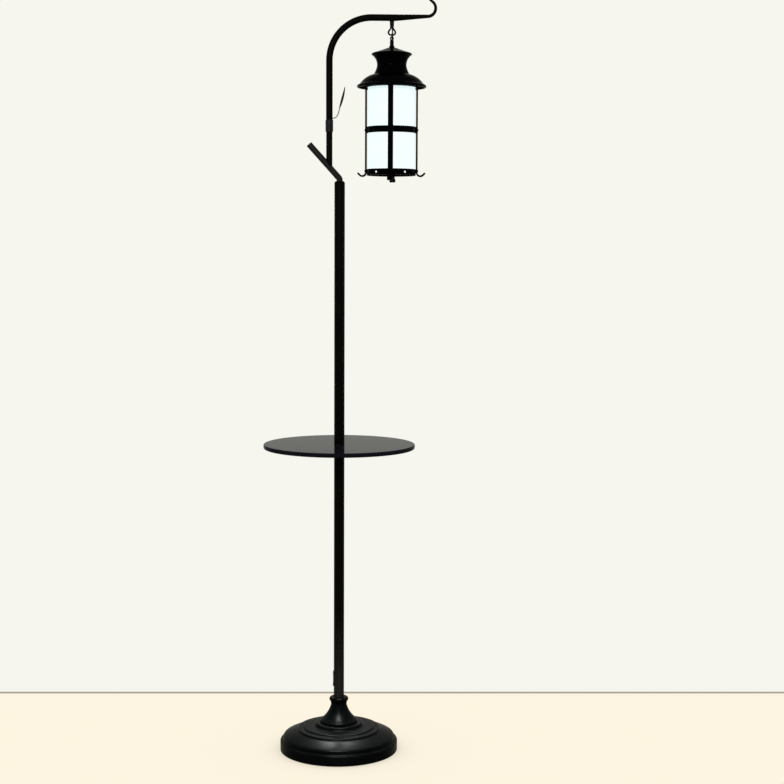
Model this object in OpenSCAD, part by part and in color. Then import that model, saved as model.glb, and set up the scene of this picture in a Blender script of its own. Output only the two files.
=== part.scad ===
// Lantern floor lamp: a weighted stepped base, a pole in two sections with a
// round side table clamped between them, a forked pole head, and a crook that
// swivels in a ferrule and carries a hanging lantern.
// Millimetres. Z is up, the origin is on the floor under the pole's axis, and
// the crook reaches out along +X. The front of the lamp faces -Y.

/* [Base] */
// Diameter of the base rim
base_d = 252; // [220:2:320]
// Height of the vertical rim above the floor
rim_h = 22; // [14:1:26]
// Step in from the rim to the raised ledge
ledge_in = 6.5; // [4:0.5:9]
// Top of the raised ledge above the floor
ledge_h = 32; // [30:1:34]
// Diameter of the outer ring step at the top of the sloped band
outer_step_d = 176; // [164:2:190]
// Top of the outer ring step above the floor
outer_step_h = 48; // [46:0.5:49]
// Diameter of the middle ring step
middle_step_d = 150; // [124:2:158]
// Top of the middle ring step above the floor
middle_step_h = 51.5; // [50:0.5:53]
// Diameter of the ring step under the bell
inner_step_d = 100; // [90:1:112]
// Top of the ring step under the bell above the floor
inner_step_h = 60; // [57:0.5:63]
// Thickness of the spun base cover
cover_wall = 1.2; // [0.8:0.1:2]
// Thickness of the soft pad under the base
pad_t = 1; // [1:0.5:3]
// Thickness of the iron weight inside the base
weight_t = 13; // [8:1:14]
// Diameter of the iron weight
weight_d = 216; // [160:4:216]
// Diameter of the hub on the weight that props up the cover
weight_hub_d = 36; // [28:2:60]

/* [Neck bell] */
// Diameter of the bell's foot
bell_foot_d = 81; // [70:1:86]
// Diameter of the bell at its narrow top
bell_top_d = 33.5; // [30:0.5:40]
// Height of the bell from the cover to the bottom of its bead
bell_h = 39; // [36:0.5:50]
// Height of the plain edge at the bell's foot
bell_edge_h = 4.5; // [2:0.5:6]
// Inward curve of the bell's side
bell_curve = 3.6; // [2:0.2:5]
// Diameter over the bead ring on top of the bell
bead_d = 41; // [38:1:50]
// Radius of the bead's round edge
bead_round = 5; // [3:0.5:5.5]
// Height of the bead's middle above the bell
bead_rise = 11.5; // [10:0.5:14]
// Depth that the pole stands inside the bead
pole_socket = 13; // [8:1:16]

/* [Pole] */
// Outside diameter of the pole
pole_d = 22; // [20:1:25]
// Wall of the pole tubes
pole_wall = 1.2; // [0.8:0.1:1.6]
// Height of the upper pole's end above the floor
pole_top = 1212; // [1000:10:1212]
// Height of the chamfered cap on the pole
pole_cap_h = 6; // [4:1:8]
// Chamfer of the pole cap
pole_cap_chamfer = 2.6; // [1:0.2:3]
// Length of the plugs inside the pole ends
plug_len = 18; // [12:1:24]
// Diameter of the threaded rod and of the threaded nipples
thread_d = 10; // [8:1:12]
// Bore of the threaded nipples, which the wire runs through
nipple_bore = 6.4; // [5.4:0.2:7]
// Gap around threads and wires
loose = 0.1; // [0.05:0.05:0.3]
// Gap between parts that are only pushed together
snug = 0.02; // [0.01:0.01:0.05]

/* [Side table] */
// Diameter of the round table top
table_d = 322; // [260:2:400]
// Thickness of the table top
table_t = 9; // [8:1:18]
// Height of the table's upper face above the floor
table_h = 664; // [500:10:800]
// Rounding of the table's edge
table_round = 3; // [1:0.5:3.5]
// Diameter of the steel washer let into the table's underside
washer_d = 60; // [40:2:90]
// Thickness of that washer
washer_t = 2; // [1:0.5:3]

/* [Cord inlet] */
// Height of the inlet plate's middle above the floor
inlet_h = 155; // [150:5:260]
// Length of the inlet plate
inlet_len = 35; // [32:1:50]
// Width of the inlet plate
inlet_w = 12; // [10:0.5:13]
// Thickness of the inlet plate
inlet_t = 1.6; // [1:0.2:2.4]
// Diameter of the cord hole in the inlet plate
inlet_bore = 6; // [5:0.5:7]
// Distance between the two screws of the inlet plate
inlet_screw_span = 25; // [22:1:26]
// Diameter of the small screws
small_screw_d = 2.6; // [2:0.2:3]

/* [Branch and arm post] */
// Outside diameter of the oblique branch
branch_d = 13; // [11:0.5:14]
// Wall of the branch and arm post tubes
branch_wall = 1.4; // [1:0.1:1.8]
// Angle of the branch above the horizontal
branch_angle = 48; // [42:1:56]
// Length of the branch from the bend to its tip
branch_len = 96; // [70:2:130]
// Height of the bend above the pole tube's end
bend_rise = 11; // [11:1:18]
// Centreline radius of the elbow
elbow_r = 9; // [8:0.5:11]
// Distance of the arm post behind the pole's axis
arm_back = 21.8; // [20:0.2:26]
// Outside diameter of the arm post
post_d = 13; // [11:0.5:14]
// Height of the ferrule's lower end above the pole tube's end
ferrule_rise = 108; // [80:2:140]
// Length of the ferrule
ferrule_len = 25; // [20:1:40]
// Outside diameter of the ferrule
ferrule_d = 16; // [15.6:0.2:18]
// Share of the ferrule that holds the arm post
ferrule_split = 12; // [8:1:12]
// Running clearance round the crook in the ferrule
swivel_gap = 0.05; // [0.02:0.01:0.08]
// Gap between the arm post's end and the crook's end
swivel_end_gap = 0.3; // [0.2:0.1:0.6]
// Turn of the crook to either side
swivel_turn = 90; // [30:5:100]
// Diameter of the stop screw in the ferrule
stop_screw_d = 3; // [2.4:0.2:3]

/* [Crook] */
// Outside diameter of the crook tube
crook_d = 13.8; // [12.8:0.2:13.8]
// Wall of the crook tube
crook_wall = 1.5; // [1.2:0.1:2]
// Centreline radius of the crook's bend
crook_r = 88.3; // [70:0.5:100]
// Height of the arm's centreline above the pole tube's end
arm_rise = 343.5; // [300:0.5:400]
// Length of the straight arm after the bend
arm_len = 47; // [47:1:80]
// Length of the tapered end of the arm
taper_len = 68.5; // [40:0.5:90]
// Diameter of the taper where the curl starts
taper_d = 7.2; // [6:0.2:10]
// Centreline radius of the curl
curl_r = 16.8; // [12:0.4:22]
// Turn of the curl from its lowest point
curl_turn = 138; // [100:2:150]
// Straight tip beyond the curl
curl_tip = 18; // [6:1:20]
// Diameter of the curl's tip
curl_tip_d = 5.2; // [4:0.2:7]

/* [Leaf] */
// Height of the leaf stem's foot above the ferrule
leaf_rise = 3.4; // [2:0.2:10]
// Diameter of the leaf stem
stem_d = 1.8; // [1.4:0.2:3]
// Length of the leaf blade
leaf_len = 47; // [30:1:60]
// Width of the leaf blade
leaf_w = 19; // [10:1:26]
// Thickness of the leaf blade
leaf_t = 0.9; // [0.6:0.1:1.5]
// Lean of the leaf blade from the vertical
leaf_lean = 14; // [8:1:20]
// Bow of the leaf blade
leaf_bow = 2.6; // [1:0.2:4]
// Fold of the leaf along its midrib
leaf_fold = 3.8; // [0.6:0.2:5]

/* [Hanger] */
// Distance of the lantern's axis in front of the pole's axis
hang_x = 108; // [100:1:112]
// Diameter of the hanger wire
hanger_wire_d = 3.6; // [2.2:0.2:3.6]
// Drop from the arm's centreline to the middle of the loop's lowest wire
hanger_drop = 35.7; // [32:0.1:44]
// Half width of the loop at its widest
loop_half_w = 7.2; // [6.6:0.2:9]
// Gap between the hanger's two legs
leg_gap = 0.6; // [0.2:0.1:3]
// Inside radius of the swing ring
link_bore_r = 3.7; // [3.7:0.1:4.2]
// Inside radius of the lantern's eye
eye_bore_r = 1.7; // [1.6:0.1:1.8]
// Diameter of the swing ring's wire
ring_wire_d = 2.2; // [1.4:0.2:2.4]
// Diameter of the eye's wire
eye_wire_d = 2.6; // [1.6:0.2:2.8]
// Play between linked wires
link_play = 0.3; // [0.2:0.1:0.5]
// Diameter of the eye bolt's shank
bolt_d = 8; // [6:0.5:8]

/* [Lantern roof] */
// Diameter of the cap's rim
cap_d = 82.4; // [76:0.4:96]
// Height of the cap
cap_h = 12.8; // [10:0.4:18]
// Height of the collar on the cap
collar_h = 5.6; // [4:0.4:8]
// Depth of the cap's top below the middle of the swing ring's lowest wire
cap_drop = 20.8; // [18:0.1:30]
// Thickness of the lantern's sheet metal
sheet = 1.2; // [0.8:0.1:1.5]
// Diameter of the chimney's waist
waist_d = 59.2; // [50:0.4:66]
// Height of the chimney
chimney_h = 40.4; // [34:0.4:50]
// Diameter of the chimney's foot
chimney_foot_d = 73; // [70:0.5:80]
// Height of the roof from its brim to its top
roof_h = 26.4; // [22:0.4:36]
// Diameter over the roof's brim
brim_d = 142.4; // [134:0.4:160]
// Thickness of the brim's rolled edge
brim_t = 2; // [1.6:0.2:3]

/* [Lantern body] */
// Outside diameter of the frosted glass
glass_d = 99; // [90:1:102]
// Wall of the glass
glass_wall = 3; // [2:0.5:4]
// Length of the glass
glass_len = 189; // [150:1:220]
// Height of the glass's foot above the bottom band's lower edge
glass_seat = 4.4; // [3:0.2:5]
// Radial gap between the glass and the bands
glass_gap = 0.7; // [0.4:0.1:1.5]
// Thickness of the bands
band_t = 1.1; // [1:0.1:2]
// Width of the bands
band_w = 13.2; // [9:0.2:15]
// Height of the gallery's flange, which stands behind the brim
gallery_flange = 17.8; // [12:0.2:19]
// Drop of the middle band's middle below the brim
band_drop = 88.6; // [60:0.2:110]
// Radius of the ring that the gallery's vent holes lie on
vent_ring_r = 34; // [30:1:38]
// Radius of each vent hole
vent_r = 7; // [5:0.5:8]
// Height of the middle band above the bottom band, centre to centre
band_span = 87.8; // [70:0.2:110]
// Width of the straps
strap_w = 11; // [8:0.2:12]
// Thickness of the straps
strap_t = 3.8; // [1.6:0.2:4.4]
// Turn of the lantern about its axis
lantern_turn = -4; // [-20:0.5:20]
// Centreline radius of the hooks at the straps' ends
hook_r = 7.6; // [7:0.2:11]
// How far the hooks curl round
hook_turn = 135; // [110:5:185]
// Diameter of the round ends of the hooks
hook_end_d = 13; // [12:0.5:15]
// Extra drop of the front and back hooks
hook_extra_drop = 9; // [0:1:14]
// Diameter of the sight holes in the bottom band
sight_d = 4.8; // [3:0.2:6]
// Angle from the front strap to each sight hole
sight_angle = 36; // [30:1:45]
// Diameter of the rivet shanks
rivet_d = 3; // [2:0.2:3]
// Height of the straps' lowest rivets above the bottom band's middle
rivet_lift = 2.8; // [0:0.2:3]
// Angle from the front strap to the bands' seam rivet
seam_angle = 13; // [12:1:20]

/* [Lamp inside] */
// Width of the stirrup that carries the lampholder
stirrup_w = 34; // [30:1:44]
// Height of the stirrup
stirrup_h = 24; // [24:1:32]
// Width of the stirrup's strap
stirrup_strap = 12; // [11:0.5:16]
// Outside diameter of the lampholder
holder_d = 38; // [34:1:44]
// Length of the lampholder
holder_len = 48; // [44:1:56]
// Diameter of the bulb's screw cap
bulb_cap_d = 26.4; // [24:0.2:27]
// Length of the bulb's screw cap
bulb_cap_len = 26; // [22:1:28]
// Diameter of the bulb
bulb_d = 60; // [45:1:66]
// Length of the bulb's glass
bulb_len = 78; // [60:1:90]

/* [Wiring] */
// Diameter of the wire inside the tubes
wire_d = 4; // [3:0.2:4.4]
// Diameter of the lead between the arm and the lantern
lead_d = 3; // [2.6:0.2:3.2]
// Outside diameter of the grommets
grommet_d = 4.4; // [4.2:0.1:5]

/* [Hidden] */
$fn = 96;

paint = "#1b1c1e";
iron = "#3a3b3d";
steel = "#9a9da0";
brass = "#b5984e";
lacquer = "#5d5c60";
opal = "#f2fbfb";
bakelite = "#26221f";

// Base heights
cover_z = pad_t;
bell_z = inner_step_h;
bead_z = bell_z + bell_h + bead_rise;
bell_top_z = bead_z + bead_round;
pole_z = bell_top_z - pole_socket;
rod_r = thread_d / 2;
weight_top = pad_t + weight_t;
nut_h = 5;
nut_recess = nut_h + 3;
base_washer_t = 1.6;
cover_round = 1.5;

// Pole
pole_r = pole_d / 2;
pole_in = pole_r - pole_wall;
plug_r = pole_in - snug;
table_z = table_h - table_t;
nipple_end = 3;

// Pole head
bend_z = pole_top + bend_rise;
branch_r = branch_d / 2;
branch_in = branch_r - branch_wall;
post_r = post_d / 2;
arm_x = -arm_back;
crossing_z = bend_z + arm_back * tan(branch_angle);
ferrule_z = pole_top + ferrule_rise;
post_top = ferrule_z + ferrule_split;
ferrule_top = ferrule_z + ferrule_len;

// Crook
crook_rad = crook_d / 2;
crook_in = crook_rad - crook_wall;
crook_z = post_top + swivel_end_gap;
arm_z = pole_top + arm_rise;
arc_x = arm_x + crook_r;
arc_z = arm_z - crook_r;
arm_end = arc_x + arm_len;
taper_end = arm_end + taper_len;
taper_lift = (crook_d - taper_d) / 2;
groove_depth = 0.7;
groove_w = stop_screw_d + 0.6;
stop_z = post_top + (ferrule_top - post_top) / 2;
stop_tip = crook_rad - groove_depth + 0.15;
groove_turn = swivel_turn + asin((stop_screw_d / 2 + 0.3) / stop_tip);
outlet_x = hang_x;
outlet_y = hanger_wire_d / 2 + 0.2 + grommet_d / 2;
outlet_z = arm_z - crook_rad;

// Links between the arm and the lantern
loop_z = arm_z - hanger_drop;
ring_r = link_bore_r + ring_wire_d / 2;
ring_z = loop_z + hanger_wire_d / 2 + link_play - link_bore_r;
pivot_z = ring_z - ring_r;
eye_r = eye_bore_r + eye_wire_d / 2;
eye_z = pivot_z + ring_wire_d / 2 + link_play - eye_bore_r;

// Lantern heights
cap_top = pivot_z - cap_drop;
cap_seat = cap_top - cap_h;
roof_top = cap_seat - chimney_h;
brim_z = roof_top - roof_h;
band_in = glass_d / 2 + glass_gap;
band_out = band_in + band_t;
strap_out = band_out + strap_t;
rivet_r = rivet_d / 2;
rivet_head_r = rivet_r + 1.2;
rivet_head_t = 1.3;
chimney_foot_r = chimney_foot_d / 2;

// Points along a shallow bow from p to q, which bulges to the left by sag
function bow(p, q, sag, n = 10) =
    let (d = q - p, side = [-d[1], d[0]] / norm(d))
    [for (i = [0 : n]) let (t = i / n) p + d * t + side * sag * 4 * t * (1 - t)];

// Points along a circular arc in the plane
function arc(centre, r, from, to, n = 10) =
    [for (i = [0 : n]) let (a = from + (to - from) * i / n) centre + r * [cos(a), sin(a)]];

function reversed(list) = [for (i = [len(list) - 1 : -1 : 0]) list[i]];

function moved(list, by) = [for (p = list) p + by];

// A point at t between b and c on the smooth curve through a, b, c and d
function spline_point(a, b, c, d, t) =
    0.5 * (2 * b + (c - a) * t + (2 * a - 5 * b + 4 * c - d) * t * t + (3 * b - a - 3 * c + d) * t * t * t);

// A smooth curve through hand-placed points
function smooth(points, n = 4) =
    let (last = len(points) - 1)
    concat(
        [for (i = [0 : last - 1], k = [0 : n - 1])
            spline_point(points[max(i - 1, 0)], points[i], points[i + 1], points[min(i + 2, last)], k / n)],
        [points[last]]);

function to_space(list, y = 0) = [for (p = list) [p[0], y, p[1]]];

function unit(v) = v / norm(v);

// A round bar swept along points in space; r is one radius or one per point
module bar(points, r, sides = 12) {
    last = len(points) - 1;
    radii = is_list(r) ? r : [for (p = points) r];
    rings = [for (i = [0 : last])
        let (t = unit(points[min(i + 1, last)] - points[max(i - 1, 0)]),
             u = unit(cross([0, 1, 0], t)),
             v = cross(t, u))
        for (k = [0 : sides - 1])
            points[i] + radii[i] * (cos(360 * k / sides) * u + sin(360 * k / sides) * v)];
    walls = [for (i = [0 : last - 1], k = [0 : sides - 1], half = [0, 1])
        let (a = i * sides + k, b = i * sides + (k + 1) % sides)
        half == 0 ? [a, a + sides, b + sides] : [a, b + sides, b]];
    ends = [[for (k = [0 : sides - 1]) k], [for (k = [sides - 1 : -1 : 0]) last * sides + k]];
    polyhedron(rings, concat(walls, ends), convexity = 4);
}

module ring(r_out, r_in, h) {
    difference() {
        cylinder(r = r_out, h = h);
        translate([0, 0, -1]) cylinder(r = r_in, h = h + 2);
    }
}

module hex(r_flat, h) {
    cylinder(r = r_flat / cos(30), h = h, $fn = 6);
}

// ---- Base ----

module base_pad() {
    color("#2b2b2b") cylinder(r = weight_d / 2 + 6, h = pad_t);
}

module base_weight() {
    color(iron) difference() {
        union() {
            translate([0, 0, pad_t]) cylinder(r = weight_d / 2, h = weight_t);
            translate([0, 0, pad_t]) cylinder(r = weight_hub_d / 2, h = bell_z - cover_wall - pad_t);
        }
        translate([0, 0, -1]) cylinder(r = rod_r + loose, h = bell_z + 2);
        translate([0, 0, pad_t - 1]) cylinder(r = thread_d + 2, h = nut_recess + 1);
    }
}

// Outline of the cover's upper face, from the rim's foot to the bell
cover_outline = concat(
    [[base_d / 2, cover_z], [base_d / 2, rim_h - cover_round]],
    arc([base_d / 2 - cover_round, rim_h - cover_round], cover_round, 0, 90, 4),
    [[base_d / 2 - ledge_in, rim_h + 1.5]],
    arc([base_d / 2 - ledge_in - 3, ledge_h - 2], 3, 0, 60, 4),
    bow([base_d / 2 - ledge_in - 6, ledge_h + 2.6], [outer_step_d / 2 + 1, outer_step_h - 4.2], 0.4, 8),
    [[outer_step_d / 2, outer_step_h - 3.8], [outer_step_d / 2 - 0.4, outer_step_h - 0.8],
     [outer_step_d / 2 - 2, outer_step_h], [middle_step_d / 2 + 1.5, outer_step_h + 0.6],
     [middle_step_d / 2, middle_step_h - 1], [middle_step_d / 2 - 1.5, middle_step_h],
     [inner_step_d / 2 + 1, middle_step_h + 1],
     [inner_step_d / 2, inner_step_h - 2], [inner_step_d / 2 - 2, inner_step_h],
     [rod_r + loose, inner_step_h]]);

module base_cover() {
    under = [for (i = [len(cover_outline) - 1 : -1 : 1])
        [max(cover_outline[i][0] - cover_wall, rod_r + loose), cover_outline[i][1] - cover_wall]];
    foot = [[base_d / 2 - cover_wall, cover_z]];
    color(paint) rotate_extrude() polygon(concat(cover_outline, under, foot));
}

module neck_bell() {
    side = bow([bell_foot_d / 2, bell_z + bell_edge_h], [bell_top_d / 2, bell_z + bell_h], bell_curve, 14);
    bead = arc([bead_d / 2 - bead_round, bead_z], bead_round, -65, 120, 14);
    color(paint) difference() {
        rotate_extrude() polygon(concat([[0, bell_z], [bell_foot_d / 2, bell_z]], side, bead, [[0, bell_top_z]]));
        translate([0, 0, bell_z - 1]) cylinder(r = rod_r + loose, h = bell_h * 2);
        translate([0, 0, pole_z]) cylinder(r = pole_r + snug, h = pole_socket + 1);
        translate([0, 0, bell_top_z - 4]) cylinder(r1 = pole_r, r2 = pole_r + 2.4, h = 4.01);
    }
}

module base_rod() {
    color(steel) translate([0, 0, pad_t + 1.5]) cylinder(r = rod_r, h = pole_z + plug_len - pad_t - 5);
}

module base_nut() {
    color(steel) translate([0, 0, pad_t + nut_recess - base_washer_t - nut_h]) difference() {
        hex(thread_d * 0.8, nut_h);
        translate([0, 0, -1]) cylinder(r = rod_r + snug, h = nut_h + 2);
    }
}

module base_washer() {
    color(steel) translate([0, 0, pad_t + nut_recess - base_washer_t])
        ring(thread_d + 1, rod_r + loose, base_washer_t);
}

// ---- Pole ----

// Holes through the left wall of the lower pole, for the cord and two screws
module inlet_holes(cord_r, screw_r) {
    for (hole = [[0, cord_r], [inlet_screw_span / 2, screw_r], [-inlet_screw_span / 2, screw_r]])
        translate([0, 0, inlet_h + hole[0]]) rotate([0, -90, 0]) cylinder(r = hole[1], h = pole_d);
}

module lower_pole() {
    color(paint) difference() {
        translate([0, 0, pole_z]) ring(pole_r, pole_in, table_z - pole_z);
        inlet_holes(inlet_bore / 2, small_screw_d / 2 + snug);
    }
}

module lower_foot_plug() {
    color(steel) translate([0, 0, pole_z]) ring(plug_r, rod_r + snug, plug_len);
}

module lower_top_plug() {
    color(steel) translate([0, 0, table_z - plug_len]) ring(plug_r, rod_r + snug, plug_len);
}

module inlet_plate() {
    color(paint) difference() {
        intersection() {
            translate([0, 0, inlet_h - inlet_len / 2]) ring(pole_r + inlet_t, pole_r + snug, inlet_len);
            hull() for (side = [-1, 1])
                translate([0, 0, inlet_h + side * (inlet_len - inlet_w) / 2])
                    rotate([0, -90, 0]) cylinder(r = inlet_w / 2, h = pole_d, $fn = 32);
        }
        inlet_holes(inlet_bore / 2, small_screw_d / 2 + snug);
    }
}

module inlet_screws() {
    length = inlet_t + pole_wall + 1.5;
    color(steel) for (side = [-1, 1])
        translate([-pole_r - inlet_t, 0, inlet_h + side * inlet_screw_span / 2]) {
            rotate([0, 90, 0]) cylinder(r = small_screw_d / 2, h = length);
            rotate([0, -90, 0]) cylinder(r1 = small_screw_d, r2 = small_screw_d * 0.6, h = 1);
        }
}

module pole_nipple() {
    color(steel) translate([0, 0, table_z - plug_len + nipple_end])
        ring(rod_r, nipple_bore / 2, table_t + 2 * (plug_len - nipple_end));
}

module table_top() {
    edge = table_d / 2 - table_round;
    rim = concat(
        arc([edge, table_z + table_round], table_round, -90, 0, 6),
        arc([edge, table_h - table_round], table_round, 0, 90, 6));
    color(lacquer) difference() {
        rotate_extrude($fn = 160) polygon(concat([[0, table_z]], rim, [[0, table_h]]));
        translate([0, 0, table_z - 1]) cylinder(r = rod_r + loose, h = table_t + 2);
        translate([0, 0, table_z - 1]) cylinder(r = washer_d / 2 + loose, h = washer_t + 1);
    }
}

module table_washer() {
    color(steel) translate([0, 0, table_z]) ring(washer_d / 2, rod_r + loose, washer_t);
}

module upper_pole() {
    color(paint) translate([0, 0, table_h]) ring(pole_r, pole_in, pole_top - table_h);
}

module upper_foot_plug() {
    color(steel) translate([0, 0, table_h]) ring(plug_r, rod_r + snug, plug_len);
}

module pole_cap() {
    flat = pole_cap_h - pole_cap_chamfer;
    color(paint) difference() {
        union() {
            translate([0, 0, pole_top - plug_len]) cylinder(r = plug_r, h = plug_len);
            translate([0, 0, pole_top]) cylinder(r = pole_r, h = flat);
            translate([0, 0, pole_top + flat])
                cylinder(r1 = pole_r, r2 = pole_r - pole_cap_chamfer, h = pole_cap_chamfer);
        }
        translate([0, 0, pole_top - plug_len - 1]) cylinder(r = branch_r + snug, h = plug_len + pole_cap_h + 2);
    }
}

// ---- Pole head ----

// A bent tube: a short neck in the pole cap, an elbow and the oblique branch
module branch_tube() {
    elbow_turn = 90 - branch_angle;
    elbow_z = bend_z - elbow_r * tan(elbow_turn / 2);
    slope = [-cos(branch_angle), sin(branch_angle)];
    elbow = arc([-elbow_r, elbow_z], elbow_r, 0, elbow_turn, 7);
    foot = [0, pole_top - plug_len];
    tip = [0, bend_z] + slope * branch_len;
    sides = 32;
    color(paint) difference() {
        bar(to_space(concat([foot], elbow, [tip])), branch_r, sides);
        bar(to_space(concat([foot - [0, 1]], elbow, [tip + slope])), branch_in / cos(180 / sides), sides);
        translate([arm_x, 0, crossing_z]) cylinder(r = wire_d / 2 + 1, h = branch_d * 2);
    }
}

module branch_end_cap() {
    color(paint) translate([0, 0, bend_z]) rotate([0, branch_angle - 90, 0])
        translate([0, 0, branch_len - 6]) cylinder(r = branch_in - snug, h = 6);
}

module arm_post() {
    color(paint) difference() {
        translate([arm_x, 0, crossing_z]) cylinder(r = post_r, h = post_top - crossing_z);
        translate([arm_x, 0, crossing_z - 1]) cylinder(r = post_r - branch_wall, h = post_top - crossing_z + 2);
        translate([0, 0, bend_z]) rotate([0, branch_angle - 90, 0])
            translate([0, 0, -20]) cylinder(r = branch_r + snug, h = branch_len * 2);
    }
}

module ferrule() {
    color(paint) difference() {
        translate([arm_x, 0, ferrule_z]) cylinder(r = ferrule_d / 2, h = ferrule_len);
        translate([arm_x, 0, ferrule_z - 1]) cylinder(r = post_r + snug, h = ferrule_split + 1);
        translate([arm_x, 0, post_top]) cylinder(r = crook_rad + swivel_gap, h = ferrule_len);
        translate([arm_x, 0, stop_z]) rotate([0, -90, 0])
            cylinder(r = stop_screw_d / 2 + snug, h = ferrule_d);
    }
}

module stop_screw() {
    color(steel) translate([arm_x - stop_tip, 0, stop_z]) rotate([0, -90, 0])
        cylinder(r = stop_screw_d / 2, h = ferrule_d / 2 - stop_tip + 0.4);
}

module stand_wire() {
    slope = [-cos(branch_angle), sin(branch_angle)];
    path = smooth([
        [2, inlet_h], [0, inlet_h + 30], [0, table_z - 60], [0, table_h + 60], [0, pole_top - 30],
        [0, bend_z - 8], slope * 6 + [-0.5, bend_z], [arm_x + 4, crossing_z - 3], [arm_x, crossing_z + 7],
        [arm_x, crossing_z + 22], [arm_x, post_top]], 3);
    color("#404040") bar(to_space(path), wire_d / 2, 8);
}

// ---- Crook ----

module crook_upright() {
    color(paint) difference() {
        translate([arm_x, 0, crook_z]) ring(crook_rad, crook_in, arc_z - crook_z);
        translate([arm_x, 0, stop_z - groove_w / 2]) rotate([0, 0, 180 - groove_turn])
            rotate_extrude(angle = 2 * groove_turn)
                translate([crook_rad - groove_depth, 0]) square([groove_depth + 1, groove_w]);
    }
}

module crook_bend() {
    color(paint) translate([arc_x, 0, arc_z]) rotate([90, 0, 0]) rotate_extrude(angle = 90, start = 90)
        translate([crook_r, 0]) difference() {
            circle(r = crook_rad, $fn = 48);
            circle(r = crook_in, $fn = 48);
        }
}

module crook_arm() {
    color(paint) difference() {
        translate([arc_x, 0, arm_z]) rotate([0, 90, 0]) cylinder(r = crook_rad, h = arm_len);
        translate([arc_x - 1, 0, arm_z]) rotate([0, 90, 0]) cylinder(r = crook_in, h = arm_len - 3);
        translate([outlet_x, outlet_y, arm_z - crook_d]) cylinder(r = grommet_d / 2 + snug, h = crook_d);
    }
}

// The solid taper and curl that are welded to the end of the arm
module crook_scroll() {
    curl_z = arm_z + taper_lift + curl_r;
    turned = curl_turn - 90;
    curl_out = [taper_end + curl_r * cos(turned), curl_z + curl_r * sin(turned)];
    tip = curl_out + curl_tip * [-sin(turned), cos(turned)];
    path = concat(
        [[arm_end, arm_z]],
        [for (i = [0 : 4]) [arm_end + 0.5 + (taper_len - 0.5) * i / 5, arm_z + taper_lift * i / 5]],
        arc([taper_end, curl_z], curl_r, -90, turned, 18),
        [(curl_out + tip) / 2, tip]);
    last = len(path) - 1;
    radii = [for (i = [0 : last])
        i < 6 ? crook_rad + (taper_d / 2 - crook_rad) * max(i - 1, 0) / 5
              : taper_d / 2 + (curl_tip_d - taper_d) / 2 * (i - 6) / (last - 6)];
    color(paint) bar(to_space(path), radii, 24);
}

module crook_wire() {
    path = concat(
        [[arm_x, crook_z]],
        arc([arc_x, arc_z], crook_r, 180, 90, 16),
        [[outlet_x - 16, arm_z], [outlet_x - 7, arm_z - 0.6], [outlet_x - 3, arm_z - 2]]);
    color("#404040") bar(to_space(path), wire_d / 2, 8);
}

stem_z = ferrule_top + leaf_rise;
stem_end = [arm_x + 21, stem_z + 19];

module leaf_stem() {
    path = smooth([
        [arm_x + crook_rad + 0.1, stem_z], [arm_x + 10, stem_z + 0.2], [arm_x + 14.4, stem_z + 2.2],
        [arm_x + 18.4, stem_z + 9], stem_end], 4);
    color(paint) bar(to_space(path), stem_d / 2, 8);
}

// A lance-shaped blade seen edge-on from the front, folded along its midrib
module leaf_blade() {
    steps = 14;
    ribs = 4;
    along = [sin(leaf_lean), cos(leaf_lean)];
    out = [cos(leaf_lean), -sin(leaf_lean)];
    function mid(t) = stem_end + along * (leaf_len * t + 0.2) + out * leaf_bow * 4 * t * (1 - t);
    function half_w(t) = 0.6 + (leaf_w / 2 - 0.6) * pow(sin(180 * pow(t, 0.85)), 0.8);
    function skin(t, s, lift) =
        let (m = mid(t), w = half_w(t), rise = lift - leaf_fold * w / (leaf_w / 2) * pow(abs(s), 1.2))
        [m[0] + out[0] * rise, s * w, m[1] + out[1] * rise];
    across = 2 * ribs + 1;
    layer = (steps + 1) * across;
    points = [for (lift = [leaf_t / 2, -leaf_t / 2], i = [0 : steps], k = [-ribs : ribs])
        skin(0.99 * i / steps, k / ribs, lift)];
    function quad(a, b, c, d) = [[a, b, c], [a, c, d]];
    faces = concat(
        [for (i = [0 : steps - 1], k = [0 : across - 2], f = quad(
            i * across + k, i * across + k + 1, (i + 1) * across + k + 1, (i + 1) * across + k)) f],
        [for (i = [0 : steps - 1], k = [0 : across - 2], f = quad(
            layer + i * across + k, layer + (i + 1) * across + k,
            layer + (i + 1) * across + k + 1, layer + i * across + k + 1)) f],
        [for (i = [0 : steps - 1], f = quad(
            i * across, (i + 1) * across, layer + (i + 1) * across, layer + i * across)) f],
        [for (i = [0 : steps - 1], f = quad(
            (i + 1) * across - 1, layer + (i + 1) * across - 1,
            layer + (i + 2) * across - 1, (i + 2) * across - 1)) f],
        [for (k = [0 : across - 2], f = quad(k, layer + k, layer + k + 1, k + 1)) f],
        [for (k = [0 : across - 2], f = quad(
            steps * across + k, steps * across + k + 1,
            layer + steps * across + k + 1, layer + steps * across + k)) f]);
    color(paint) polyhedron(points, faces, convexity = 6);
}

// ---- Hanger ----

module hanger_loop() {
    arm_under = arm_z - crook_rad + 0.3;
    leg_x = (hanger_wire_d + leg_gap) / 2;
    half = [
        [leg_x + 0.8, arm_under], [leg_x + 0.3, arm_under - 8], [leg_x, loop_z + 16],
        [leg_x + 1.4, loop_z + 12], [loop_half_w - 0.6, loop_z + 8], [loop_half_w, loop_z + 4.6],
        [loop_half_w * 0.66, loop_z + 1.1]];
    left = [for (p = half) [hang_x - p[0], p[1]]];
    right = [for (p = reversed(half)) [hang_x + p[0], p[1]]];
    color(paint) difference() {
        bar(to_space(smooth(concat(left, [[hang_x, loop_z]], right), 4)), hanger_wire_d / 2, 10);
        translate([arc_x, 0, arm_z]) rotate([0, 90, 0]) cylinder(r = crook_rad, h = arm_len);
    }
}

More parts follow.
